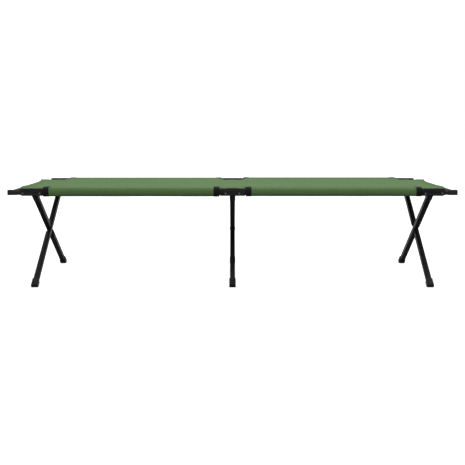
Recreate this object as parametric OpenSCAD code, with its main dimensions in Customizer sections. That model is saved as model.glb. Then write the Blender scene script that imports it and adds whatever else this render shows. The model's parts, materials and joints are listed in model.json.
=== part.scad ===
// Folding cot: two side rails that fold at their middle, three pairs of crossed legs, and two end
// bars that pull off. +X runs along the cot, +Y to its rear side, Z = 0 is the floor.

/* [Overall] */
// Length over the end bar corners
cot_length = 1900; // [1500:10:2300]
// Distance between the two rail axes
rail_spacing = 646; // [500:2:860]
// Height of the rail axes above the floor
rail_height = 409; // [330:1:520]
// Height of the leg crossing as a share of the rail height
cross_share = 0.5183; // [0.48:0.0001:0.56]
// Distance from the end of the cot to each end pair of legs
leg_inset = 106; // [88:1:300]

/* [Rails] */
// Width of the rail tube
rail_w = 22; // [18:0.5:30]
// Height of the rail tube
rail_h = 29; // [24:0.5:36]
// Corner radius of the rail tube
rail_corner = 7; // [3:0.5:9]
// Wall of the rail tube
rail_wall = 1.5; // [1:0.1:3]
// Distance from the middle of the cot to each rail half when it is folded up
fold_gap = 7.5; // [6:0.5:20]
// Height of the fold pins and saddle rivets above the rail's underside
fold_pin_lift = 7.5; // [6.5:0.1:10]
// Length of rail beyond its fold pin
rail_nose = 5.5; // [4.5:0.1:6]

/* [Brackets] */
// Thickness of the bracket plates
plate_t = 2; // [1.5:0.1:4]
// Reach of the fold bracket beyond each fold pin
fold_bracket_reach = 26; // [22:0.5:40]
// Reach of a saddle from the leg towards the middle of the cot
saddle_in = 42; // [34:1:70]
// Distance from a saddle's outer end to the end of the rail
saddle_setback = 2; // [1:0.5:10]
// Distance from a saddle's inner end to the rivet beside it
saddle_rivet_edge = 12; // [7:0.5:16]
// Size of the corner cut off under a saddle's outer end
saddle_chamfer = 7; // [3:0.5:12]
// Gap between the leg's knuckle and the bracket's cheek
knuckle_gap = 0.7; // [0.5:0.1:4]
// Depth of the leg hinge axis below the rail axis
hinge_drop = 3.7; // [0:0.1:6]
// Thickness of the hinge ears
ear_t = 3; // [2:0.1:5]
// Radius of the hinge ears and of the leg's knuckle
ear_r = 7; // [5.5:0.1:8.5]

/* [Legs] */
// Width of the leg tube along the cot
leg_w = 22; // [18:0.5:30]
// Depth of the leg tube in the plane of the crossed legs
leg_d = 25; // [18:0.5:30]
// Corner radius of the leg tube
leg_corner = 4; // [2:0.5:7]
// Wall of the leg tube
leg_wall = 1.2; // [1:0.1:3]
// Angle of the legs to the floor when the frame is closed
closed_angle = 74.6; // [66:0.1:78]
// Spare length of the thinned stretch beyond where the two legs meet
crimp_spare = 2.5; // [1:0.1:10]
// Length over which the leg turns into the thinned stretch
crimp_run = 10; // [4:1:30]
// Distance from the hinge axis to the top cap's sleeve
cap_start = 12; // [12:0.5:20]
// Length of the top cap's sleeve
cap_len = 48; // [46:1:80]
// Wall of the top cap's sleeve
cap_wall = 1.25; // [1:0.05:3]
// Distances of the two cap rivets from the top and bottom of the sleeve
cap_rivet_edges = [8, 15];
// Height of the foot along the leg
foot_len = 40; // [32:1:60]
// Wall of the foot
foot_wall = 3; // [2:0.1:5]
// Rise of the tube's lower corner above the floor inside the foot
foot_sole = 3; // [2:0.1:8]

/* [End bars] */
// Length of an end bar corner along the cot
corner_len = 38; // [34:0.5:50]
// Wall of an end bar corner above and below the bar
corner_wall = 1.25; // [1:0.05:4]
// Width of an end bar corner
corner_w = 24; // [22:0.5:30]
// Outer diameter of the end bar
bar_d = 20; // [16:0.5:21]
// Wall of the end bar
bar_wall = 1.5; // [1:0.1:3]
// Depth of the end bar in each corner
bar_seat = 10; // [6:0.5:16]
// Depth of the end bar axis below the rail axis
bar_drop = 3; // [0:0.1:5]
// Length of the bare neck between a corner and the rail
neck_len = 14; // [8:0.5:24]
// Step from the spigot out to the neck
neck_step = 1.6; // [0.8:0.1:2]
// Length of the tapered spigot inside the rail
spigot_len = 8; // [6:0.5:9]
// Gap round the spigot where it enters the rail
spigot_gap = 0.5; // [0.2:0.1:1.5]
// Radius lost by the spigot for each millimetre of its length
spigot_slope = 0.65; // [0.6:0.01:0.7]

/* [Fabric] */
// Thickness of the fabric with its lining
fabric_t = 2.5; // [1.5:0.1:4]
// Gap between the fabric and the rail
fabric_slack = 0.5; // [0.2:0.1:2]
// Distance from the outer face of the end bar corner to the fabric's end
fabric_end = 36; // [20:1:80]
// Depth of the corner notches inside the bracket's cheek
notch_depth = 10; // [4:1:40]

/* [Fasteners] */
// Radius of the hinge, fold and saddle pins
pin_r = 3; // [2.5:0.1:4]
// Radius of the pivot at the leg crossing
pivot_r = 4; // [3:0.1:5]
// Rim of the pin heads beyond the pins
head_rim = 1.2; // [0.6:0.1:2.5]
// Rim of the pivot heads beyond the pivots
pivot_head_rim = 4; // [2:0.1:6]
// Thickness of the heads
head_t = 1.5; // [1:0.1:2.5]
// Radius of the cap rivets
rivet_r = 2.4; // [1.5:0.1:3]
// Rim of the cap rivet heads beyond the rivets
rivet_head_rim = 1.8; // [0.6:0.1:3]

/* [Hidden] */
$fn = 48;
// Gap between parts that move past each other
run_gap = 0.3;
// Radial gap of a turning fit
turn_gap = 0.05;
// Radial gap of a fixed fit
seat_gap = 0.02;
rail_y = rail_spacing / 2;
rail_bottom = rail_height - rail_h / 2;
rail_top = rail_height + rail_h / 2;
rail_end = cot_length / 2 - corner_len - neck_len;
leg_station = cot_length / 2 - leg_inset;
cross_height = rail_height * cross_share;
fold_pin_x = rail_h - fold_pin_lift + fold_gap;
fold_pin_z = rail_bottom + fold_pin_lift;
rail_start = fold_pin_x - rail_nose;
cheek_y = rail_w / 2 + run_gap;
bracket_y = cheek_y + plate_t;
web_top = rail_bottom - 0.4;
web_bottom = web_top - plate_t;
saddle_out = rail_end - saddle_setback - leg_station;
saddle_rivet_in = saddle_in - saddle_rivet_edge;
// The outer rivet passes the rail clear of the spigot in its end
saddle_rivet_out = rail_end - spigot_len - pin_r - 2 - leg_station;
hinge_reach = ear_r + knuckle_gap;
hinge_y = rail_y - bracket_y - hinge_reach;
hinge_z = rail_height - hinge_drop;
leg_angle = atan2(hinge_z - cross_height, hinge_y);
top_len = sqrt(pow(hinge_y, 2) + pow(hinge_z - cross_height, 2));
cap_w = leg_w + 2 * cap_wall + 2 * seat_gap;
cap_d = leg_d + 2 * cap_wall + 2 * seat_gap;
ear_x = cap_w / 2 + run_gap;
cap_rivets = [cap_start + cap_rivet_edges[0], cap_start + cap_len - cap_rivet_edges[1]];
foot_w = leg_w + 2 * foot_wall;
foot_d = leg_d + 2 * foot_wall;
// The foot's sole meets the floor from its inner corner out to the leg's own axis
floor_reach = cross_height / sin(leg_angle);
foot_tip = floor_reach - 4;
tube_foot = (cross_height - foot_sole - leg_d / 2 * cos(leg_angle)) / sin(leg_angle);
tube_top = top_len - cap_start - 2;
// The thinned stretch covers what the other leg passes over, from open (near) to closed (far)
crimp_near = leg_d / 2 / tan(leg_angle) + crimp_spare;
crimp_far = leg_d / 2 * tan(closed_angle) + crimp_spare;
crimp_slant = atan2(crimp_far - crimp_near, leg_d);
crimp_half = (crimp_near + crimp_far) / 2 * cos(crimp_slant);
crimp_end = crimp_far + crimp_run / cos(crimp_slant) + 2;
bar_x = cot_length / 2 - corner_len / 2;
bar_z = rail_height - bar_drop;
corner_h = bar_d + 2 * corner_wall;
spigot_r = rail_w / 2 - rail_wall - spigot_gap;
neck_r = spigot_r + neck_step;
head_r = pin_r + head_rim;
pivot_head_r = pivot_r + pivot_head_rim;
rivet_head_r = rivet_r + rivet_head_rim;
sleeve_gap = fabric_slack + fabric_t;
sleeve_in = fold_pin_x + fold_bracket_reach + 1;
sleeve_out = leg_station - saddle_in - 2;
deck_end = cot_length / 2 - fabric_end;
deck_y = rail_y - rail_w / 2 - sleeve_gap - run_gap;
deck_z = rail_top + fabric_slack;
notch_y = rail_y - bracket_y - notch_depth;
notch_half = fold_pin_x + fold_bracket_reach - 5;

// A rectangle with round corners, centred
module round_rect(w, h, r) {
  square([w, h - 2 * r], center = true);
  square([w - 2 * r, h], center = true);
  for (x = [-1, 1], y = [-1, 1])
    translate([x * (w / 2 - r), y * (h / 2 - r)])
      circle(r);
}

module round_tube(w, h, r, wall, len) {
  linear_extrude(len)
    difference() {
      round_rect(w, h, r);
      round_rect(w - 2 * wall, h - 2 * wall, r - wall);
    }
}

// A cylinder along X or Y, centred
module x_rod(r, len) {
  rotate([0, 90, 0])
    cylinder(r = r, h = len, center = true);
}

module y_rod(r, len) {
  rotate([90, 0, 0])
    cylinder(r = r, h = len, center = true);
}

// A pin along Y through both cheeks, with a head on each side
module headed_y_pin() {
  y_rod(pin_r, 2 * bracket_y);
  for (s = [-1, 1])
    translate([0, s * (bracket_y + head_t / 2), 0])
      y_rod(head_r, head_t);
}

// Places drawn in the front left quarter: side_x is -1 for left, side_y is -1 for front
module quarter(side_x, side_y) {
  mirror([side_x > 0 ? 1 : 0, 0, 0])
    mirror([0, side_y > 0 ? 1 : 0, 0])
      children();
}

// ---- Rails, drawn in the front left quarter

module rail(side_x, side_y) {
  color("#202124")
    quarter(side_x, side_y)
      difference() {
        translate([-rail_start, -rail_y, rail_height])
          rotate([0, -90, 0])
            round_tube(rail_h, rail_w, rail_corner, rail_wall, rail_end - rail_start);
        translate([-fold_pin_x, -rail_y, fold_pin_z])
          y_rod(pin_r + turn_gap, 2 * rail_w);
        for (x = [-leg_station + saddle_rivet_in, -leg_station - saddle_rivet_out])
          translate([x, -rail_y, fold_pin_z])
            y_rod(pin_r + seat_gap, 2 * rail_w);
        rail_nose_cut();
      }
}

// The lower corner of the rail's nose is rounded, so that it turns above the bracket's web
module rail_nose_cut() {
  translate([-rail_start - rail_nose, -rail_y, rail_bottom])
    difference() {
      translate([0, -rail_w, -1])
        cube([rail_nose + 1, 2 * rail_w, rail_nose + 1]);
      translate([0, 0, rail_nose])
        y_rod(rail_nose, 3 * rail_w);
    }
}

// ---- Brackets

// A channel under and beside the rail, from x0 to x1
module channel(x0, x1) {
  for (s = [-1, 1])
    translate([x0, s * (cheek_y + plate_t / 2) - plate_t / 2, web_bottom])
      cube([x1 - x0, plate_t, rail_top - web_bottom]);
  translate([x0, -bracket_y, web_bottom])
    cube([x1 - x0, 2 * bracket_y, plate_t]);
}

// Two ears on the inner cheek, with the leg hinge between them
module ears() {
  for (s = [-1, 1])
    translate([s * (ear_x + ear_t / 2), 0, 0])
      difference() {
        union() {
          translate([0, rail_y - hinge_y, hinge_z])
            x_rod(ear_r, ear_t);
          translate([-ear_t / 2, bracket_y - plate_t / 2, hinge_z - ear_r])
            cube([ear_t, hinge_reach + plate_t / 2, 2 * ear_r]);
        }
        translate([0, rail_y - hinge_y, hinge_z])
          x_rod(pin_r + seat_gap, 2 * ear_t);
      }
}

module fold_bracket(side_y) {
  color("#2b2c30")
    quarter(-1, side_y)
      translate([0, -rail_y, 0]) {
        difference() {
          intersection() {
            channel(-fold_pin_x - fold_bracket_reach, fold_pin_x + fold_bracket_reach);
            union() {
              translate([-fold_pin_x, -2 * bracket_y, 0])
                cube([2 * fold_pin_x, 4 * bracket_y, 2 * rail_height]);
              for (s = [-1, 1])
                translate([s * fold_pin_x, 0, fold_pin_z])
                  y_rod(fold_bracket_reach, 4 * bracket_y);
            }
          }
          for (s = [-1, 1])
            translate([s * fold_pin_x, 0, fold_pin_z])
              y_rod(pin_r + seat_gap, 4 * bracket_y);
        }
        ears();
      }
}

module saddle(side_x, side_y) {
  color("#2b2c30")
    quarter(side_x, side_y)
      translate([-leg_station, -rail_y, 0]) {
        difference() {
          channel(-saddle_out, saddle_in);
          for (x = [saddle_rivet_in, -saddle_rivet_out])
            translate([x, 0, fold_pin_z])
              y_rod(pin_r + seat_gap, 4 * bracket_y);
          translate([-saddle_out, 2 * bracket_y, web_bottom])
            rotate([90, 0, 0])
              linear_extrude(4 * bracket_y)
                polygon([[-1, -1], [saddle_chamfer, -1], [saddle_chamfer, 0], [0, saddle_chamfer],
                         [-1, saddle_chamfer]]);
        }
        ears();
      }
}

module fold_pins(side_y) {
  color("#8f9196")
    for (s = [-1, 1])
      translate([s * fold_pin_x, side_y * rail_y, fold_pin_z])
        headed_y_pin();
}

module saddle_rivets(side_x, side_y) {
  color("#8f9196")
    quarter(side_x, side_y)
      for (x = [saddle_rivet_in, -saddle_rivet_out])
        translate([x - leg_station, -rail_y, fold_pin_z])
          headed_y_pin();
}

module hinge_pin(x, side_y) {
  pin_len = 2 * (ear_x + ear_t);
  color("#8f9196")
    translate([x, side_y * hinge_y, hinge_z]) {
      x_rod(pin_r, pin_len);
      for (s = [-1, 1])
        translate([s * (pin_len + head_t) / 2, 0, 0])
          x_rod(head_r, head_t);
    }
}

// ---- Legs. Each is drawn upright, with the crossing at the origin and its top at +Z.
// Leg a has its top at the front. Leg b is the same leg turned half round.

module place_leg(x, side) {
  translate([x, 0, cross_height])
    rotate([0, 0, side == "b" ? 180 : 0])
      rotate([90 - leg_angle, 0, 0])
        children();
}

module leg(x, side) {
  color("#1d1e21")
    place_leg(x, side)
      difference() {
        union() {
          translate([0, 0, crimp_end])
            round_tube(leg_w, leg_d, leg_corner, leg_wall, tube_top - crimp_end);
          translate([0, 0, -tube_foot])
            round_tube(leg_w, leg_d, leg_corner, leg_wall, tube_foot - crimp_end);
          crimp();
        }
        x_rod((side == "b" ? turn_gap : seat_gap) + pivot_r, 2 * leg_w);
        for (z = cap_rivets)
          translate([0, 0, top_len - z])
            y_rod(rivet_r + seat_gap, 2 * leg_d);
      }
}

// The middle of the leg is thinned to one half of its width, between two slanted shoulders
module crimp() {
  difference() {
    translate([0, 0, -crimp_end])
      linear_extrude(2 * crimp_end)
        round_rect(leg_w, leg_d, leg_corner);
    rotate([crimp_slant, 0, 0])
      translate([0, 3 * leg_d, 0])
        rotate([90, 0, 0])
          linear_extrude(6 * leg_d)
            polygon([
              [-run_gap / 2, -crimp_half], [leg_w, -crimp_half - 2 * crimp_run],
              [leg_w, crimp_half + 2 * crimp_run], [-run_gap / 2, crimp_half]
            ]);
  }
}

// A sleeve over the tube's end, with a knuckle that turns on the hinge pin
module top_cap(x, side) {
  knuckle_neck = 0.85 * ear_r;
  color("#26272a")
    place_leg(x, side)
      difference() {
        union() {
          translate([0, 0, top_len - cap_start - cap_len])
            linear_extrude(cap_len)
              round_rect(cap_w, cap_d, leg_corner + cap_wall);
          translate([0, 0, top_len])
            x_rod(ear_r, cap_w);
          translate([-cap_w / 2, -knuckle_neck, top_len - cap_start])
            cube([cap_w, 2 * knuckle_neck, cap_start]);
        }
        translate([0, 0, top_len - cap_start - cap_len - 1])
          linear_extrude(tube_top - top_len + cap_start + cap_len + 1)
            round_rect(leg_w + 2 * seat_gap, leg_d + 2 * seat_gap, leg_corner);
        translate([0, 0, top_len])
          x_rod(pin_r + turn_gap, 2 * cap_w);
        for (z = cap_rivets)
          translate([0, 0, top_len - z])
            y_rod(rivet_r + seat_gap, 2 * cap_d);
      }
}

module cap_rivet_pair(x, side) {
  color("#8f9196")
    place_leg(x, side)
      for (z = cap_rivets)
        translate([0, 0, top_len - z]) {
          y_rod(rivet_r, cap_d);
          for (s = [-1, 1])
            translate([0, s * (cap_d + head_t) / 2, 0])
              y_rod(rivet_head_r, head_t);
        }
}

// A moulded foot over the tube's end, cut level with the floor
module foot(x, side) {
  color("#17181a")
    difference() {
      place_leg(x, side)
        difference() {
          translate([0, 0, -foot_tip])
            linear_extrude(foot_len)
              round_rect(foot_w, foot_d, leg_corner + foot_wall / 2);
          translate([0, 0, -tube_foot])
            linear_extrude(tube_foot)
              round_rect(leg_w + 2 * seat_gap, leg_d + 2 * seat_gap, leg_corner);
        }
      translate([x - foot_w, -rail_spacing, -rail_height])
        cube([2 * foot_w, 2 * rail_spacing, rail_height]);
    }
}

module cross_pivot(x) {
  head_x = leg_w / 2 + run_gap / 2;
  color("#8f9196")
    translate([x, 0, cross_height]) {
      x_rod(pivot_r, 2 * head_x);
      for (s = [-1, 1])
        translate([s * (head_x + head_t / 2), 0, 0])
          x_rod(pivot_head_r, head_t);
    }
}

// ---- End bars

module end_bar(side_x) {
  bar_len = rail_spacing - corner_w + 2 * bar_seat;
  color("#3a3b40")
    translate([side_x * bar_x, 0, bar_z])
      difference() {
        y_rod(bar_d / 2, bar_len);
        y_rod(bar_d / 2 - bar_wall, bar_len + 2);
      }
}

module bar_corners(side_x) {
  color("#17181a")
    for (side_y = [-1, 1])
      quarter(side_x, side_y)
        bar_corner();
}

module bar_corner() {
  edge = 4;
  difference() {
    union() {
      translate([-cot_length / 2, -rail_y, bar_z])
        rotate([0, 90, 0])
          linear_extrude(corner_len)
            round_rect(corner_h, corner_w, edge);
      translate([-rail_end - neck_len / 2, -rail_y, bar_z])
        x_rod(neck_r, neck_len);
      translate([-rail_end, -rail_y, bar_z])
        rotate([0, 90, 0])
          cylinder(r1 = spigot_r, r2 = spigot_r - spigot_slope * spigot_len, h = spigot_len);
    }
    translate([-bar_x, -rail_y + corner_w / 2, bar_z])
      y_rod(bar_d / 2 + seat_gap, 2 * bar_seat);
  }
}

// ---- Fabric

module sleeve(side_x, side_y) {
  color("#6f8f57")
    quarter(side_x, side_y)
      translate([-sleeve_in, -rail_y, rail_height])
        rotate([0, -90, 0])
          round_tube(rail_h + 2 * sleeve_gap, rail_w + 2 * sleeve_gap,
                     rail_corner + sleeve_gap, fabric_t, sleeve_out - sleeve_in);
}

module deck(side_x) {
  color("#6f8f57")
    quarter(side_x, -1)
      translate([0, 0, deck_z])
        linear_extrude(fabric_t)
          difference() {
            translate([-deck_end, -deck_y])
              square([deck_end - run_gap / 2, 2 * deck_y]);
            for (s = [-1, 1]) {
              translate([-notch_half, s > 0 ? notch_y : -2 * rail_y])
                square([2 * notch_half, 2 * rail_y - notch_y]);
              translate([-cot_length, s > 0 ? notch_y : -2 * rail_y])
                square([cot_length - sleeve_out, 2 * rail_y - notch_y]);
            }
          }
}

rail(-1, -1);  // front_left_rail
rail(1, -1);  // front_right_rail
rail(-1, 1);  // rear_left_rail
rail(1, 1);  // rear_right_rail
fold_bracket(-1);  // front_fold_bracket
fold_bracket(1);  // rear_fold_bracket
fold_pins(-1);  // front_fold_pins
fold_pins(1);  // rear_fold_pins
saddle(-1, -1);  // front_left_saddle
saddle(1, -1);  // front_right_saddle
saddle(-1, 1);  // rear_left_saddle
saddle(1, 1);  // rear_right_saddle
saddle_rivets(-1, -1);  // front_left_saddle_rivets
saddle_rivets(1, -1);  // front_right_saddle_rivets
saddle_rivets(-1, 1);  // rear_left_saddle_rivets
saddle_rivets(1, 1);  // rear_right_saddle_rivets
hinge_pin(-leg_station, -1);  // front_left_hinge_pin
hinge_pin(0, -1);  // front_centre_hinge_pin
hinge_pin(leg_station, -1);  // front_right_hinge_pin
hinge_pin(-leg_station, 1);  // rear_left_hinge_pin
hinge_pin(0, 1);  // rear_centre_hinge_pin
hinge_pin(leg_station, 1);  // rear_right_hinge_pin
leg(-leg_station, "a");  // left_leg_a
leg(-leg_station, "b");  // left_leg_b
leg(0, "a");  // centre_leg_a
leg(0, "b");  // centre_leg_b
leg(leg_station, "a");  // right_leg_a
leg(leg_station, "b");  // right_leg_b
top_cap(-leg_station, "a");  // left_top_cap_a
top_cap(-leg_station, "b");  // left_top_cap_b
top_cap(0, "a");  // centre_top_cap_a
top_cap(0, "b");  // centre_top_cap_b
top_cap(leg_station, "a");  // right_top_cap_a
top_cap(leg_station, "b");  // right_top_cap_b
cap_rivet_pair(-leg_station, "a");  // left_cap_rivets_a
cap_rivet_pair(-leg_station, "b");  // left_cap_rivets_b
cap_rivet_pair(0, "a");  // centre_cap_rivets_a
cap_rivet_pair(0, "b");  // centre_cap_rivets_b
cap_rivet_pair(leg_station, "a");  // right_cap_rivets_a
cap_rivet_pair(leg_station, "b");  // right_cap_rivets_b
foot(-leg_station, "a");  // left_foot_a
foot(-leg_station, "b");  // left_foot_b
foot(0, "a");  // centre_foot_a
foot(0, "b");  // centre_foot_b
foot(leg_station, "a");  // right_foot_a
foot(leg_station, "b");  // right_foot_b
cross_pivot(-leg_station);  // left_cross_pivot
cross_pivot(0);  // centre_cross_pivot
cross_pivot(leg_station);  // right_cross_pivot
end_bar(-1);  // left_end_bar
end_bar(1);  // right_end_bar
bar_corners(-1);  // left_bar_corners
bar_corners(1);  // right_bar_corners
sleeve(-1, -1);  // front_left_sleeve
sleeve(1, -1);  // front_right_sleeve
sleeve(-1, 1);  // rear_left_sleeve
sleeve(1, 1);  // rear_right_sleeve
deck(-1);  // left_deck
deck(1);  // right_deck
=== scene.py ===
import json
import math

import bmesh
import bpy
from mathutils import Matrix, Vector, noise


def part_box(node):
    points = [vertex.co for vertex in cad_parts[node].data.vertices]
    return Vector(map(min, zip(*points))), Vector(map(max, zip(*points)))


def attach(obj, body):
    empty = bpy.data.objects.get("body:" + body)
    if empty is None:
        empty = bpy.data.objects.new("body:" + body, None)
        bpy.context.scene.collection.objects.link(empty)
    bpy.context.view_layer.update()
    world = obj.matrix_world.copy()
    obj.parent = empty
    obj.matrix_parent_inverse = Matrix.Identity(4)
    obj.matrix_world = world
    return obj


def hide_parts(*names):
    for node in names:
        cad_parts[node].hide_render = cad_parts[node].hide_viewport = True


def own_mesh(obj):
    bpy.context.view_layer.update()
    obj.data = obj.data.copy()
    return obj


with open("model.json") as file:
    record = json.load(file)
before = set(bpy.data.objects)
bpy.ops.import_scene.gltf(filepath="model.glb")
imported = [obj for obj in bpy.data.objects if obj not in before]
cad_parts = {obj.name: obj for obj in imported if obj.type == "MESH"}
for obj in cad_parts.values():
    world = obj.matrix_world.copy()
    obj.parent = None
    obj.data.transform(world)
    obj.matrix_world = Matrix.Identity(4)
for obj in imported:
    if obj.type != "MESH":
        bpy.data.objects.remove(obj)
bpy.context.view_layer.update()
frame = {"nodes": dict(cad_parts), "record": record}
print("frame loaded")

scene = bpy.context.scene
nodeObjects = frame["nodes"]
slotOfNode = {s["node"]: s["material_slot"] for s in frame["record"]["subparts"]}
bodyOfNode = {n: b for b, nodes in frame["record"]["behaviour"]["bodies"].items() for n in nodes}


# camera and light

cameraSetup = {
    "distance": 4.01, "height": 0.713, "lens": 67.7, "sensor": 36.0, "pitch": 4.34, "shiftY": -0.10,
}


def makeCamera(setup):
    data = bpy.data.cameras.new("camera")
    data.lens, data.sensor_width, data.shift_y = setup["lens"], setup["sensor"], setup["shiftY"]
    camera = bpy.data.objects.new("camera", data)
    camera.location = (0, -setup["distance"], setup["height"])
    camera.rotation_euler = (math.radians(90 - setup["pitch"]), 0, 0)
    scene.collection.objects.link(camera)
    scene.camera = camera


# a white room whose light is weak from below, as a studio's is under a table; darkAt and whiteAt are
# how far a direction points up where the change starts and ends
room = {"above": 1.0, "below": 0.12, "darkAt": -0.25, "whiteAt": -0.03}


def makeRoom(setup):
    world = bpy.data.worlds.new("world")
    scene.world = world
    world.use_nodes = True
    tree = world.node_tree
    direction = tree.nodes.new("ShaderNodeTexCoord")
    split = tree.nodes.new("ShaderNodeSeparateXYZ")
    level = tree.nodes.new("ShaderNodeMapRange")
    for socket, value in (("From Min", setup["darkAt"]), ("From Max", setup["whiteAt"]),
                          ("To Min", setup["below"]), ("To Max", setup["above"])):
        level.inputs[socket].default_value = value
    tree.links.new(direction.outputs["Generated"], split.inputs[0])
    tree.links.new(split.outputs["Z"], level.inputs["Value"])
    background = tree.nodes["Background"]
    background.inputs["Color"].default_value = (1, 1, 1, 1)
    tree.links.new(level.outputs["Result"], background.inputs["Strength"])
    scene.view_settings.view_transform = "Standard"


softbox = {"place": (0.3, 0.7, 3.2), "target": (0, 0, 0.4), "size": 3.0, "watts": 40}


def makeSoftbox(setup):
    data = bpy.data.lights.new("softbox", "AREA")
    data.shape, data.size, data.energy = "DISK", setup["size"], setup["watts"]
    lamp = bpy.data.objects.new("softbox", data)
    lamp.location = setup["place"]
    toTarget = Vector(setup["target"]) - Vector(setup["place"])
    lamp.rotation_mode = "QUATERNION"
    lamp.rotation_quaternion = toTarget.to_track_quat("-Z", "Y")
    scene.collection.objects.link(lamp)


# the floor glows a little, and gives the cot neither light nor reflections
floorSetup = {"size": 60.0, "colour": (0.5, 0.5, 0.5), "rough": 0.9, "glow": 0.86}


def makeFloor(setup):
    half = setup["size"] / 2
    corners = [(-half, -half, 0), (half, -half, 0), (half, half, 0), (-half, half, 0)]
    mesh = bpy.data.meshes.new("floor")
    mesh.from_pydata(corners, [], [(0, 1, 2, 3)])
    floor = bpy.data.objects.new("floor", mesh)
    floor.visible_diffuse = floor.visible_glossy = False
    scene.collection.objects.link(floor)
    paint = bpy.data.materials.new("floorPaint")
    paint.use_nodes = True
    shader = paint.node_tree.nodes["Principled BSDF"]
    shader.inputs["Base Color"].default_value = (*setup["colour"], 1)
    shader.inputs["Roughness"].default_value = setup["rough"]
    shader.inputs["Emission Color"].default_value = (1, 1, 1, 1)
    shader.inputs["Emission Strength"].default_value = setup["glow"]
    mesh.materials.append(paint)


makeCamera(cameraSetup)
makeRoom(room)
makeSoftbox(softbox)
makeFloor(floorSetup)
print("camera and studio ready")


# materials

# a small helper round one material's node tree
class Shade:
    def __init__(self, name):
        self.material = bpy.data.materials.new(name)
        self.material.use_nodes = True
        self.tree = self.material.node_tree
        self.shader = self.tree.nodes["Principled BSDF"]

    def add(self, kind, **values):
        node = self.tree.nodes.new(kind)
        for key, value in values.items():
            setattr(node, key, value)
        return node

    def join(self, output, socket):
        self.tree.links.new(output, socket)

    def math(self, operation, a, b=0.0):
        node = self.add("ShaderNodeMath", operation=operation)
        for socket, value in zip(node.inputs, (a, b)):
            if isinstance(value, (int, float)):
                socket.default_value = value
            else:
                self.join(value, socket)
        return node.outputs[0]

    # the sum of (value, share) pairs
    def total(self, *parts):
        scaled = [self.math("MULTIPLY", value, share) for value, share in parts]
        result = scaled[0]
        for value in scaled[1:]:
            result = self.math("ADD", result, value)
        return result

    def place(self):
        return self.add("ShaderNodeTexCoord").outputs["Object"]

    def stretch(self, vector, scale):
        node = self.add("ShaderNodeMapping")
        node.inputs["Scale"].default_value = scale
        self.join(vector, node.inputs["Vector"])
        return node.outputs["Vector"]

    def noise(self, vector, scale, detail):
        node = self.add("ShaderNodeTexNoise")
        node.inputs["Scale"].default_value = scale
        node.inputs["Detail"].default_value = detail
        self.join(vector, node.inputs["Vector"])
        return node.outputs["Fac"]

    def ramp(self, value, stops, tones):
        node = self.add("ShaderNodeValToRGB")
        ramp = node.color_ramp
        while len(ramp.elements) < len(stops):
            ramp.elements.new(0.5)
        for element, at, tone in zip(ramp.elements, stops, tones):
            element.position, element.color = at, (*tone, 1)
        self.join(value, node.inputs["Fac"])
        return node.outputs["Color"]

    def remap(self, value, low, high):
        node = self.add("ShaderNodeMapRange")
        node.inputs["To Min"].default_value, node.inputs["To Max"].default_value = low, high
        self.join(value, node.inputs["Value"])
        return node.outputs["Result"]

    def bump(self, height, strength, distance):
        node = self.add("ShaderNodeBump")
        node.inputs["Strength"].default_value = strength
        node.inputs["Distance"].default_value = distance
        self.join(height, node.inputs["Height"])
        self.join(node.outputs["Normal"], self.shader.inputs["Normal"])

    def feed(self, **outputs):
        for key, output in outputs.items():
            self.join(output, self.shader.inputs[key.replace("_", " ")])

    def fix(self, **values):
        for key, value in values.items():
            self.shader.inputs[key.replace("_", " ")].default_value = value


# in every finish a noise is its scale and detail, and a bump is its strength and depth

steelPaint = {
    "broad": (9, 4), "scuff": (160, 6), "grain": (1500, 2), "stops": (0.18, 0.34, 0.46),
    "smoother": 0.08, "rougher": 0.22, "bump": (0.12, 0.0002), "specular": 0.2,
}
# each paint's roughness and its tones, from dark through light to scuffed
powderCoat = {
    "rough": 0.46, "tones": [(0.006, 0.006, 0.0065), (0.010, 0.010, 0.0105), (0.02, 0.02, 0.021)],
}
bracketPaint = {
    "rough": 0.5, "tones": [(0.007, 0.007, 0.008), (0.011, 0.011, 0.0125), (0.022, 0.022, 0.024)],
}
capPaint = {
    "rough": 0.45, "tones": [(0.008, 0.008, 0.0085), (0.012, 0.012, 0.013), (0.026, 0.026, 0.027)],
}


def paintedSteel(name, paint):
    shade = Shade(name)
    place = shade.place()
    broad = shade.noise(place, *steelPaint["broad"])
    scuff = shade.noise(place, *steelPaint["scuff"])
    worn = shade.math("MULTIPLY", broad, scuff)
    smooth, rough = paint["rough"] - steelPaint["smoother"], paint["rough"] + steelPaint["rougher"]
    shade.feed(Base_Color=shade.ramp(worn, steelPaint["stops"], paint["tones"]),
               Roughness=shade.remap(worn, smooth, rough))
    shade.bump(shade.noise(place, *steelPaint["grain"]), *steelPaint["bump"])
    shade.fix(Specular_IOR_Level=steelPaint["specular"])
    return shade.material


zinc = {
    "grain": (700, 5), "stops": (0.3, 0.7), "tones": [(0.07, 0.07, 0.072), (0.17, 0.17, 0.175)],
    "rough": (0.28, 0.5), "bump": (0.15, 0.0001),
}


def zincPlate(name):
    shade = Shade(name)
    grain = shade.noise(shade.place(), *zinc["grain"])
    shade.feed(Base_Color=shade.ramp(grain, zinc["stops"], zinc["tones"]),
               Roughness=shade.remap(grain, *zinc["rough"]))
    shade.bump(grain, *zinc["bump"])
    shade.fix(Metallic=1.0)
    return shade.material


plastic = {
    "grain": (2200, 3), "broad": (22, 3), "stops": (0.35, 0.75),
    "tones": [(0.009, 0.009, 0.0095), (0.018, 0.018, 0.0185)],
    "rough": (0.48, 0.66), "bump": (0.25, 0.0002), "specular": 0.25,
}


def mouldedPlastic(name):
    shade = Shade(name)
    place = shade.place()
    grain = shade.noise(place, *plastic["grain"])
    broad = shade.noise(place, *plastic["broad"])
    shade.feed(Base_Color=shade.ramp(broad, plastic["stops"], plastic["tones"]),
               Roughness=shade.remap(broad, *plastic["rough"]))
    shade.bump(grain, *plastic["bump"])
    shade.fix(Specular_IOR_Level=plastic["specular"])
    return shade.material


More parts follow.
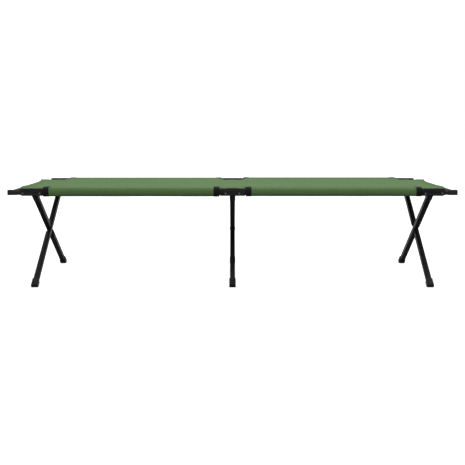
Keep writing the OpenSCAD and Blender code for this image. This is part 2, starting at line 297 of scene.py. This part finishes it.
# the cloth's UV map is in metres, and so is the pitch of its weave
weave = {
    "alongStretch": (30, 1400, 1), "acrossStretch": (1400, 30, 1), "thread": (1, 2), "broad": (14, 5),
    "threadShare": 0.3, "broadShare": 0.25, "riseShare": 0.15, "threadHeight": 0.6,
    "stops": (0.25, 0.5, 0.75), "roughSpread": 0.07, "bump": (0.35, 0.00035), "specular": 0.1,
}
greenCloth = {
    "pitch": 0.0011, "rough": 0.85,
    "tones": [(0.067, 0.128, 0.044), (0.092, 0.166, 0.062), (0.117, 0.202, 0.081)],
}
blackTape = {
    "pitch": 0.0016, "rough": 0.8,
    "tones": [(0.005, 0.005, 0.0055), (0.010, 0.010, 0.0115), (0.018, 0.018, 0.020)],
}


def wovenCloth(name, cloth):
    shade = Shade(name)
    uv = shade.add("ShaderNodeUVMap", uv_map="cloth").outputs["UV"]
    split = shade.add("ShaderNodeSeparateXYZ")
    shade.join(uv, split.inputs[0])
    turns = math.pi / cloth["pitch"]
    along = shade.math("MULTIPLY", split.outputs["X"], turns)
    across = shade.math("MULTIPLY", split.outputs["Y"], turns)
    # plain weave: warp and weft each rise on every other crossing
    crossing = shade.math("MULTIPLY", shade.math("SINE", along), shade.math("SINE", across))
    rise = shade.math("ABSOLUTE", crossing)
    warp = shade.noise(shade.stretch(uv, weave["alongStretch"]), *weave["thread"])
    weft = shade.noise(shade.stretch(uv, weave["acrossStretch"]), *weave["thread"])
    broad = shade.noise(uv, *weave["broad"])
    # the rise also takes a share of the colour: crossings paler, grooves between the threads darker,
    # painted shade of the weave's relief
    tone = shade.total((warp, weave["threadShare"]), (weft, weave["threadShare"]),
                       (broad, weave["broadShare"]), (rise, weave["riseShare"]))
    rough, spread = cloth["rough"], weave["roughSpread"]
    shade.feed(Base_Color=shade.ramp(tone, weave["stops"], cloth["tones"]),
               Roughness=shade.remap(broad, rough - spread, rough + spread))
    height = shade.math("ADD", rise, shade.math("MULTIPLY", warp, weave["threadHeight"]))
    shade.bump(height, *weave["bump"])
    shade.fix(Specular_IOR_Level=weave["specular"])
    return shade.material


thread = {
    "twist": (2500, 2), "stops": (0.3, 0.7), "bump": (0.3, 0.0001), "rough": 0.7, "specular": 0.15,
    "green": [(0.05, 0.085, 0.035), (0.09, 0.145, 0.065)],
    "black": [(0.008, 0.008, 0.009), (0.03, 0.03, 0.032)],
}


def sewingThread(name, tones):
    shade = Shade(name)
    twist = shade.noise(shade.place(), *thread["twist"])
    shade.feed(Base_Color=shade.ramp(twist, thread["stops"], tones))
    shade.bump(twist, *thread["bump"])
    shade.fix(Roughness=thread["rough"], Specular_IOR_Level=thread["specular"])
    return shade.material


finishes = {
    "black_tube": paintedSteel("powderCoat", powderCoat),
    "bracket_steel": paintedSteel("bracketPaint", bracketPaint),
    "cap_steel": paintedSteel("capPaint", capPaint),
    "fasteners": zincPlate("zincPlate"),
    "black_plastic": mouldedPlastic("mouldedPlastic"),
    "green_fabric": wovenCloth("greenCloth", greenCloth),
}
tapeFinish = wovenCloth("blackTape", blackTape)
greenThread = sewingThread("greenThread", thread["green"])
blackThread = sewingThread("blackThread", thread["black"])
print("materials ready")


# metal and plastic: the CAD shapes with their edges broken as pressing and moulding leave them

edgeBreaks = {
    "bracket_steel": {"width": 0.0007, "segments": 2},
    "cap_steel": {"width": 0.0008, "segments": 2},
    "black_tube": {"width": 0.0008, "segments": 2},
    "fasteners": {"width": 0.0006, "segments": 3},
    "black_plastic": {"width": 0.0012, "segments": 3},
}
weldGap = 1e-6
flatAngle = math.radians(1.0)
edgeAngle = math.radians(35)


# the evaluated mesh of obj as a new object at the origin; obj is removed
def plainMesh(obj, name):
    bpy.context.view_layer.update()
    shown = obj.evaluated_get(bpy.context.evaluated_depsgraph_get())
    mesh = bpy.data.meshes.new_from_object(shown)
    bpy.data.objects.remove(obj)
    result = bpy.data.objects.new(name, mesh)
    scene.collection.objects.link(result)
    return result


def camel(name):
    first, *rest = name.split("_")
    return first + "".join(word.capitalize() for word in rest)


def breakEdges(node):
    slot = slotOfNode[node]
    bm = bmesh.new()
    bm.from_mesh(nodeObjects[node].data)
    bmesh.ops.remove_doubles(bm, verts=bm.verts, dist=weldGap)
    bmesh.ops.dissolve_limit(bm, angle_limit=flatAngle, verts=bm.verts, edges=bm.edges)
    mesh = bpy.data.meshes.new(camel(node))
    bm.to_mesh(mesh)
    bm.free()
    mesh.materials.clear()
    mesh.materials.append(finishes[slot])
    work = bpy.data.objects.new("work", mesh)
    scene.collection.objects.link(work)
    bevel = work.modifiers.new("edges", "BEVEL")
    bevel.width, bevel.segments = edgeBreaks[slot]["width"], edgeBreaks[slot]["segments"]
    bevel.limit_method, bevel.angle_limit = "ANGLE", edgeAngle
    piece = plainMesh(work, camel(node))
    piece.data.shade_smooth()
    piece.data.set_sharp_from_angle(angle=edgeAngle)
    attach(piece, bodyOfNode[node])
    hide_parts(node)


for node, slot in slotOfNode.items():
    if slot != "green_fabric":
        breakEdges(node)
print("metal and plastic ready")


# cloth

sleeveLow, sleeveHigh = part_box("front_right_sleeve")
deckLow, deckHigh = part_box("right_deck")
railY = -(sleeveLow[1] + sleeveHigh[1]) / 2
railZ = (sleeveLow[2] + sleeveHigh[2]) / 2
clothEdgeAngle = math.radians(60)


def spread(start, end, steps):
    return [start + (end - start) * i / steps for i in range(steps + 1)]


def clamp(value):
    return max(0.0, min(1.0, value))


def smoothStep(low, high, value):
    t = clamp((value - low) / (high - low))
    return t * t * (3 - 2 * t)


def arcLengths(points):
    total, result = 0.0, [0.0]
    for a, b in zip(points, points[1:]):
        total += math.dist(a, b)
        result.append(total)
    return result


# rows of points joined into a quad sheet, with a UV map in metres
def gridMesh(rows, uvs, material):
    width = len(rows[0])
    verts = [p for row in rows for p in row]
    faces = []
    for i in range(len(rows) - 1):
        for j in range(width - 1):
            a = i * width + j
            faces.append((a, a + 1, a + 1 + width, a + width))
    mesh = bpy.data.meshes.new("work")
    mesh.from_pydata(verts, [], faces)
    layer = mesh.uv_layers.new(name="cloth")
    flat = [uv for row in uvs for uv in row]
    for loop in mesh.loops:
        layer.data[loop.index].uv = flat[loop.vertex_index]
    mesh.materials.append(material)
    obj = bpy.data.objects.new("work", mesh)
    scene.collection.objects.link(obj)
    return obj


# gives the sheet its thickness and makes it a plain mesh with faces outwards
def clothPiece(obj, name, thickness, offset=0.0):
    solid = obj.modifiers.new("thickness", "SOLIDIFY")
    solid.thickness, solid.offset, solid.use_even_offset = thickness, offset, True
    piece = plainMesh(obj, name)
    bm = bmesh.new()
    bm.from_mesh(piece.data)
    bmesh.ops.recalc_face_normals(bm, faces=bm.faces)
    bm.to_mesh(piece.data)
    bm.free()
    piece.data.shade_smooth()
    piece.data.set_sharp_from_angle(angle=clothEdgeAngle)
    return piece


# says which body a cloth piece moves with and which CAD solid it stands for, if any
def dress(piece, body, node=None):
    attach(piece, body)
    if node:
        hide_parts(node)
    return piece


# sleeves: the cloth goes once round the rail and comes back under itself along the seam

sleeveCut = {
    "halfWidth": (sleeveHigh[1] - sleeveLow[1]) / 2 + 0.0004,
    "halfHeight": (sleeveHigh[2] - sleeveLow[2]) / 2,
    "inner": sleeveLow[0], "outer": sleeveHigh[0],
    "fullness": 2.1, "hang": 0.0016, "turn": 1.42 * math.pi, "turnSteps": 44,
    "seam": 0.040, "seamSteps": 8, "flapGap": 0.0031, "flapCurl": 0.004, "flapSteps": 6,
    "slant": 0.007, "slantOver": 0.02, "thickness": 0.0008, "columns": 190, "seed": 5.0,
}
bandCut = {"width": 0.024, "stand": 0.0010, "thickness": 0.0009, "columns": 8, "seed": 2.0}
# fine ripples on the rail, below the height under and within the share of its half width
rippleCut = {"size": 0.00035, "under": 0.012, "within": 1.1}
# their scales along and round the sleeve, the shift of the seed and the share of the size
ripples = [(9, 60, 0, 1.0), (40, 90, 7, 0.35)]


# the sleeve's section, outward and up from the rail axis, from the top seam round to the flap's end
def sleeveProfile(cut, stand=0.0):
    wide, tall = cut["halfWidth"] + stand, cut["halfHeight"] + stand
    low = tall + cut["hang"]
    power = 2 / cut["fullness"]
    points = [(out, tall) for out in spread(-cut["seam"], 0, cut["seamSteps"])[:-1]]
    for i in range(cut["turnSteps"] + 1):
        angle = math.pi / 2 - cut["turn"] * i / cut["turnSteps"]
        c, s = math.cos(angle), math.sin(angle)
        points.append((math.copysign(abs(c) ** power, c) * wide,
                       math.copysign(abs(s) ** power, s) * (tall if s > 0 else low)))
    flapZ = cut["halfHeight"] - cut["flapGap"] - stand
    lastY, lastZ = points[-1]
    for i in range(1, cut["flapSteps"] + 1):
        t = i / cut["flapSteps"]
        rise = math.sin(t * math.pi / 2)
        points.append((lastY - cut["flapCurl"] * t * t, lastZ + (flapZ - lastZ) * rise))
    points += [(out, flapZ) for out in spread(points[-1][0], -cut["seam"], cut["flapSteps"])[1:]]
    return points


def clothRipple(x, around, seed):
    height = 0.0
    for alongScale, aroundScale, shift, share in ripples:
        point = Vector((x * alongScale, around * aroundScale, seed + shift))
        height += noise.noise(point) * rippleCut["size"] * share
    return height


# the profile carried along one rail from x0 to x1
def sweptProfile(profile, x0, x1, columns, sideX, sideY, material, seed, slant=0.0):
    wide = sleeveCut["halfWidth"]
    lengths = arcLengths(profile)
    rows, uvs = [], []
    for i, x in enumerate(spread(x0, x1, columns)):
        row = []
        for (out, up), around in zip(profile, lengths):
            # the cloth is cut back towards the notch only inboard of the rail
            inboard = clamp((-out - wide) / sleeveCut["slantOver"])
            lean = slant * inboard * (1 - 2 * i / columns)
            onRail = abs(out) < wide * rippleCut["within"] and up < rippleCut["under"]
            push = clothRipple(x, around, seed) if onRail else 0.0
            scale = 1 + push / sleeveCut["halfHeight"]
            z = railZ + up * (scale if up < 0 else 1)
            row.append((sideX * (x - lean), sideY * (railY + out * scale), z))
        rows.append(row)
        uvs.append([(x, around) for around in lengths])
    return gridMesh(rows, uvs, material)


# decks: half of the bed each, from the middle of the cot to the end hem

deckCut = {
    "middle": deckLow[0] - 0.00015, "end": deckHigh[0], "half": deckHigh[1], "level": deckHigh[2] - 0.0011,
    "notchIn": 0.050, "notchOut": sleeveCut["outer"] + 0.004, "notchHalf": 0.297, "middleHalf": 0.283,
    "slope": 0.014, "thickness": 0.0010, "columns": 230, "rows": 110, "areaShare": 0.985,
    "sag": 0.006, "sagPower": 1.5, "flatFrom": 0.73, "flatOver": 0.1,
    "dip": 0.0102, "dipPower": 4, "middleDip": (0.040, 0.068),
    "cornerDip": (sleeveCut["outer"] - 0.014, sleeveCut["outer"] + 0.026),
}
# ruffles beside the notches, and long low waves over the whole deck
ruffle = {"stations": (0.0, sleeveCut["outer"] + 0.05), "reach": 0.12, "height": 0.0009, "scale": 95}
wave = {"height": 0.0011, "along": 2.2, "across": 11, "seed": 3.0}


# half the deck's width at a distance x from the middle of the cot
def deckHalf(x):
    middle = clamp((x - deckCut["notchIn"]) / deckCut["slope"])
    end = clamp((deckCut["notchOut"] - x) / deckCut["slope"])
    middleHalf = deckCut["middleHalf"] + (deckCut["half"] - deckCut["middleHalf"]) * middle
    endHalf = deckCut["notchHalf"] + (deckCut["half"] - deckCut["notchHalf"]) * end
    return min(middleHalf, endHalf)


# the cloth hangs a little between its two stretched edges, dips where a notch leaves its edge free and
# ruffles where the notches pull it
def deckHeight(x, y):
    across = abs(y) / deckCut["half"]
    free = max(1 - smoothStep(*deckCut["middleDip"], x), smoothStep(*deckCut["cornerDip"], x))
    dip = deckCut["dip"] * free * min(1.0, abs(y) / deckCut["notchHalf"]) ** deckCut["dipPower"]
    # the seams to the sleeves stay flat
    loose = max(0.0, 1 - (across / deckCut["flatFrom"]) ** 2)
    sag = deckCut["sag"] * loose ** deckCut["sagPower"]
    pull = 0.0
    for station in ruffle["stations"]:
        near = math.exp(-((x - station) / ruffle["reach"]) ** 2) * across ** 3
        pull += near * ruffle["height"] * math.cos((x - station) * ruffle["scale"])
    point = Vector((x * wave["along"], y * wave["across"], wave["seed"]))
    lengthwise = noise.noise(point) * wave["height"]
    flatStart = deckCut["flatFrom"] - deckCut["flatOver"]
    inSeam = smoothStep(flatStart, deckCut["flatFrom"], across) * (1 - free)
    return deckCut["level"] - sag - dip + (pull + lengthwise) * (1 - inSeam)


def makeDeck(sideX, side):
    rows, uvs = [], []
    for x in spread(deckCut["middle"], deckCut["end"], deckCut["columns"]):
        half = deckHalf(x)
        ys = [half * (2 * j / deckCut["rows"] - 1) for j in range(deckCut["rows"] + 1)]
        rows.append([(sideX * x, y, deckHeight(x, y)) for y in ys])
        uvs.append([(sideX * x, y) for y in ys])
    sheet = gridMesh(rows, uvs, finishes["green_fabric"])
    return clothPiece(sheet, f"{side}Deck", deckCut["thickness"])


# tapes and hems: a strip folded over an edge of the deck

notchTape = {"width": 0.011, "thickness": 0.0006}
cornerTape = {"width": 0.016, "thickness": 0.0006, "lap": 0.006, "steps": 12}
endHem = {"width": 0.024, "thickness": 0.0007, "steps": 100}
tapeStand = 0.0004
# the fold's section: depth into the cloth and level, from 1 on its face to -1 under it
tapeFold = [(0.001, 1), (-0.0006, 0.6), (-0.0009, 0), (-0.0006, -0.6), (0.001, -1)]


# path is (x, y) along the edge, and inward is the direction into the cloth
def edgeTape(name, path, inward, cut, material):
    width, thickness = cut["width"], cut["thickness"]
    section = [(width, 1), (width / 2, 1), *tapeFold, (width / 2, -1), (width, -1)]
    arounds = arcLengths([(depth,) for depth, level in section])
    dx, dy = inward
    rows, uvs = [], []
    for (x, y), travel in zip(path, arcLengths(path)):
        row = []
        for depth, level in section:
            px, py = x + dx * depth, y + dy * depth
            lift = level * (deckCut["thickness"] / 2 + thickness)
            row.append((px, py, deckHeight(abs(px), py) + lift))
        rows.append(row)
        uvs.append([(travel, around) for around in arounds])
    return clothPiece(gridMesh(rows, uvs, material), name, thickness)


# black tape along the notch at the middle and at the corner
def makeTapes(sideX, sideY, label):
    notchEnd = deckCut["notchIn"] + deckCut["slope"] * 0.6
    notchXs = [0.0002, 0.02, 0.035, deckCut["notchIn"], notchEnd]
    cornerXs = spread(sleeveCut["outer"] - cornerTape["lap"], deckCut["end"], cornerTape["steps"])
    tapes = []
    for name, xs, cut in (("NotchTape", notchXs, notchTape), ("CornerTape", cornerXs, cornerTape)):
        path = [(sideX * x, sideY * (deckHalf(x) + tapeStand)) for x in xs]
        tapes.append(edgeTape(label + name, path, (0, -sideY), cut, tapeFinish))
    return tapes


# stitches: one small thread bead for each stitch along the seams

stitching = {"Pitch": 0.0042, "Thread Radius": 0.00045, "Stitch Length": 0.0031}
beadFaces = {"Segments": 6, "Rings": 4, "Radius": 1.0}
hemSeam = {"insets": (0.0205, 0.0045), "lift": 0.0014}
tapeSeam = {"inset": 0.013, "endGap": 0.002, "lift": 0.0013, "steps": 12}
sleeveSeam = {"insets": (0.003, 0.009), "endGap": 0.003, "lift": 0.0002, "steps": 60}


def stitchTree(material):
    tree = bpy.data.node_groups.new("stitches", "GeometryNodeTree")
    tree.interface.new_socket("Seams", in_out="INPUT", socket_type="NodeSocketGeometry")
    for name in stitching:
        tree.interface.new_socket(name, in_out="INPUT", socket_type="NodeSocketFloat")
    tree.interface.new_socket("Stitches", in_out="OUTPUT", socket_type="NodeSocketGeometry")
    add, link = tree.nodes.new, tree.links.new
    start, end = add("NodeGroupInput"), add("NodeGroupOutput")
    points = add("GeometryNodeCurveToPoints")
    points.mode = "LENGTH"
    link(start.outputs["Seams"], points.inputs["Curve"])
    link(start.outputs["Pitch"], points.inputs["Length"])
    bead = add("GeometryNodeMeshUVSphere")
    for socket, value in beadFaces.items():
        bead.inputs[socket].default_value = value
    halfLength = add("ShaderNodeMath")
    halfLength.operation = "MULTIPLY"
    halfLength.inputs[1].default_value = 0.5
    link(start.outputs["Stitch Length"], halfLength.inputs[0])
    size = add("ShaderNodeCombineXYZ")
    link(start.outputs["Thread Radius"], size.inputs["X"])
    link(start.outputs["Thread Radius"], size.inputs["Y"])
    link(halfLength.outputs[0], size.inputs["Z"])
    turn = add("FunctionNodeAlignRotationToVector")
    turn.axis = "Z"
    link(points.outputs["Tangent"], turn.inputs["Vector"])
    place = add("GeometryNodeInstanceOnPoints")
    link(points.outputs["Points"], place.inputs["Points"])
    link(bead.outputs["Mesh"], place.inputs["Instance"])
    link(turn.outputs["Rotation"], place.inputs["Rotation"])
    link(size.outputs["Vector"], place.inputs["Scale"])
    realize = add("GeometryNodeRealizeInstances")
    link(place.outputs["Instances"], realize.inputs["Geometry"])
    paint = add("GeometryNodeSetMaterial")
    paint.inputs["Material"].default_value = material
    link(realize.outputs["Geometry"], paint.inputs["Geometry"])
    link(paint.outputs["Geometry"], end.inputs["Stitches"])
    return tree


greenStitches = stitchTree(greenThread)
blackStitches = stitchTree(blackThread)


def sew(name, seams, tree, body):
    data = bpy.data.curves.new("seams", "CURVE")
    data.dimensions = "3D"
    for seam in seams:
        spline = data.splines.new("POLY")
        spline.points.add(len(seam) - 1)
        for point, place in zip(spline.points, seam):
            point.co = (*place, 1)
    holder = bpy.data.objects.new("seams", data)
    scene.collection.objects.link(holder)
    modifier = holder.modifiers.new("stitches", "NODES")
    modifier.node_group = tree
    for item in tree.interface.items_tree:
        if item.in_out == "INPUT" and item.name in stitching:
            modifier[item.identifier] = stitching[item.name]
    piece = plainMesh(holder, name)
    piece.data.shade_smooth()
    return dress(piece, body)


def sewTapes(sideX, side, body):
    outer, end = sleeveCut["outer"], deckCut["end"]
    seams = []
    for sideY in (-1, 1):
        seam = []
        for x in spread(outer + tapeSeam["endGap"], end - tapeSeam["endGap"], tapeSeam["steps"]):
            y = deckHalf(x) - tapeSeam["inset"]
            seam.append((sideX * x, sideY * y, deckHeight(x, y) + tapeSeam["lift"]))
        seams.append(seam)
    return sew(f"{side}TapeStitches", seams, blackStitches, body)


# one deck with its tapes, its end hem and their stitches
def makeDeckHalf(sideX, side):
    body = f"front_{side}_half"
    pieces = [dress(makeDeck(sideX, side), body, f"{side}_deck")]
    edging = makeTapes(sideX, -1, f"{side}Front") + makeTapes(sideX, 1, f"{side}Rear")
    # a folded hem across the end of the cloth
    hemYs = [deckCut["notchHalf"] * (2 * i / endHem["steps"] - 1) for i in range(endHem["steps"] + 1)]
    hemPath = [(sideX * deckCut["end"], y) for y in hemYs]
    edging.append(edgeTape(f"{side}EndHem", hemPath, (-sideX, 0), endHem, finishes["green_fabric"]))
    pieces += [dress(tape, body) for tape in edging]
    hemSeams = []
    for inset in hemSeam["insets"]:
        x = deckCut["end"] - inset
        hemSeams.append([(sideX * x, y, deckHeight(x, y) + hemSeam["lift"]) for y in hemYs])
    pieces.append(sew(f"{side}HemStitches", hemSeams, greenStitches, body))
    pieces.append(sewTapes(sideX, side, body))
    return pieces


# one sleeve with a black band at each end and two rows of stitches through its seam
def makeSleeve(sideX, side, sideY, end):
    body = f"{end}_{side}_half"
    label = end + side.capitalize()
    inner, outer = sleeveCut["inner"], sleeveCut["outer"]
    seed = sleeveCut["seed"] + sideX + 3 * sideY
    tube = sweptProfile(sleeveProfile(sleeveCut), inner, outer, sleeveCut["columns"], sideX, sideY,
                        finishes["green_fabric"], seed, sleeveCut["slant"])
    sleeve = clothPiece(tube, f"{label}Sleeve", sleeveCut["thickness"], -1.0)
    pieces = [dress(sleeve, body, f"{end}_{side}_sleeve")]
    bandProfile = sleeveProfile(sleeveCut, bandCut["stand"])
    for place, x0, x1 in (("Inner", inner, inner + bandCut["width"]),
                          ("Outer", outer - bandCut["width"], outer)):
        strip = sweptProfile(bandProfile, x0, x1, bandCut["columns"], sideX, sideY, tapeFinish,
                             bandCut["seed"])
        band = clothPiece(strip, f"{label}{place}Band", bandCut["thickness"], -1.0)
        pieces.append(dress(band, body))
    seamXs = spread(inner + sleeveSeam["endGap"], outer - sleeveSeam["endGap"], sleeveSeam["steps"])
    top = railZ + sleeveCut["halfHeight"]
    seams = []
    for inset in sleeveSeam["insets"]:
        y = sideY * (railY - sleeveCut["seam"] + inset)
        for z in (top + sleeveSeam["lift"], top - sleeveCut["flapGap"] - sleeveSeam["lift"]):
            seams.append([(sideX * x, y, z) for x in seamXs])
    pieces.append(sew(f"{label}SleeveStitches", seams, greenStitches, body))
    return pieces


deckPieces, sleevePieces = {}, {}
for sideX, side in ((-1, "left"), (1, "right")):
    deckPieces[side] = makeDeckHalf(sideX, side)
    for sideY, end in ((-1, "front"), (1, "rear")):
        sleevePieces[end, side] = makeSleeve(sideX, side, sideY, end)
print("cloth ready")


for side, pieces in deckPieces.items():
    for piece in pieces:
        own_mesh(piece)
for (end, side), pieces in sleevePieces.items():
    around = arcLengths(sleeveProfile(sleeveCut))[-1]
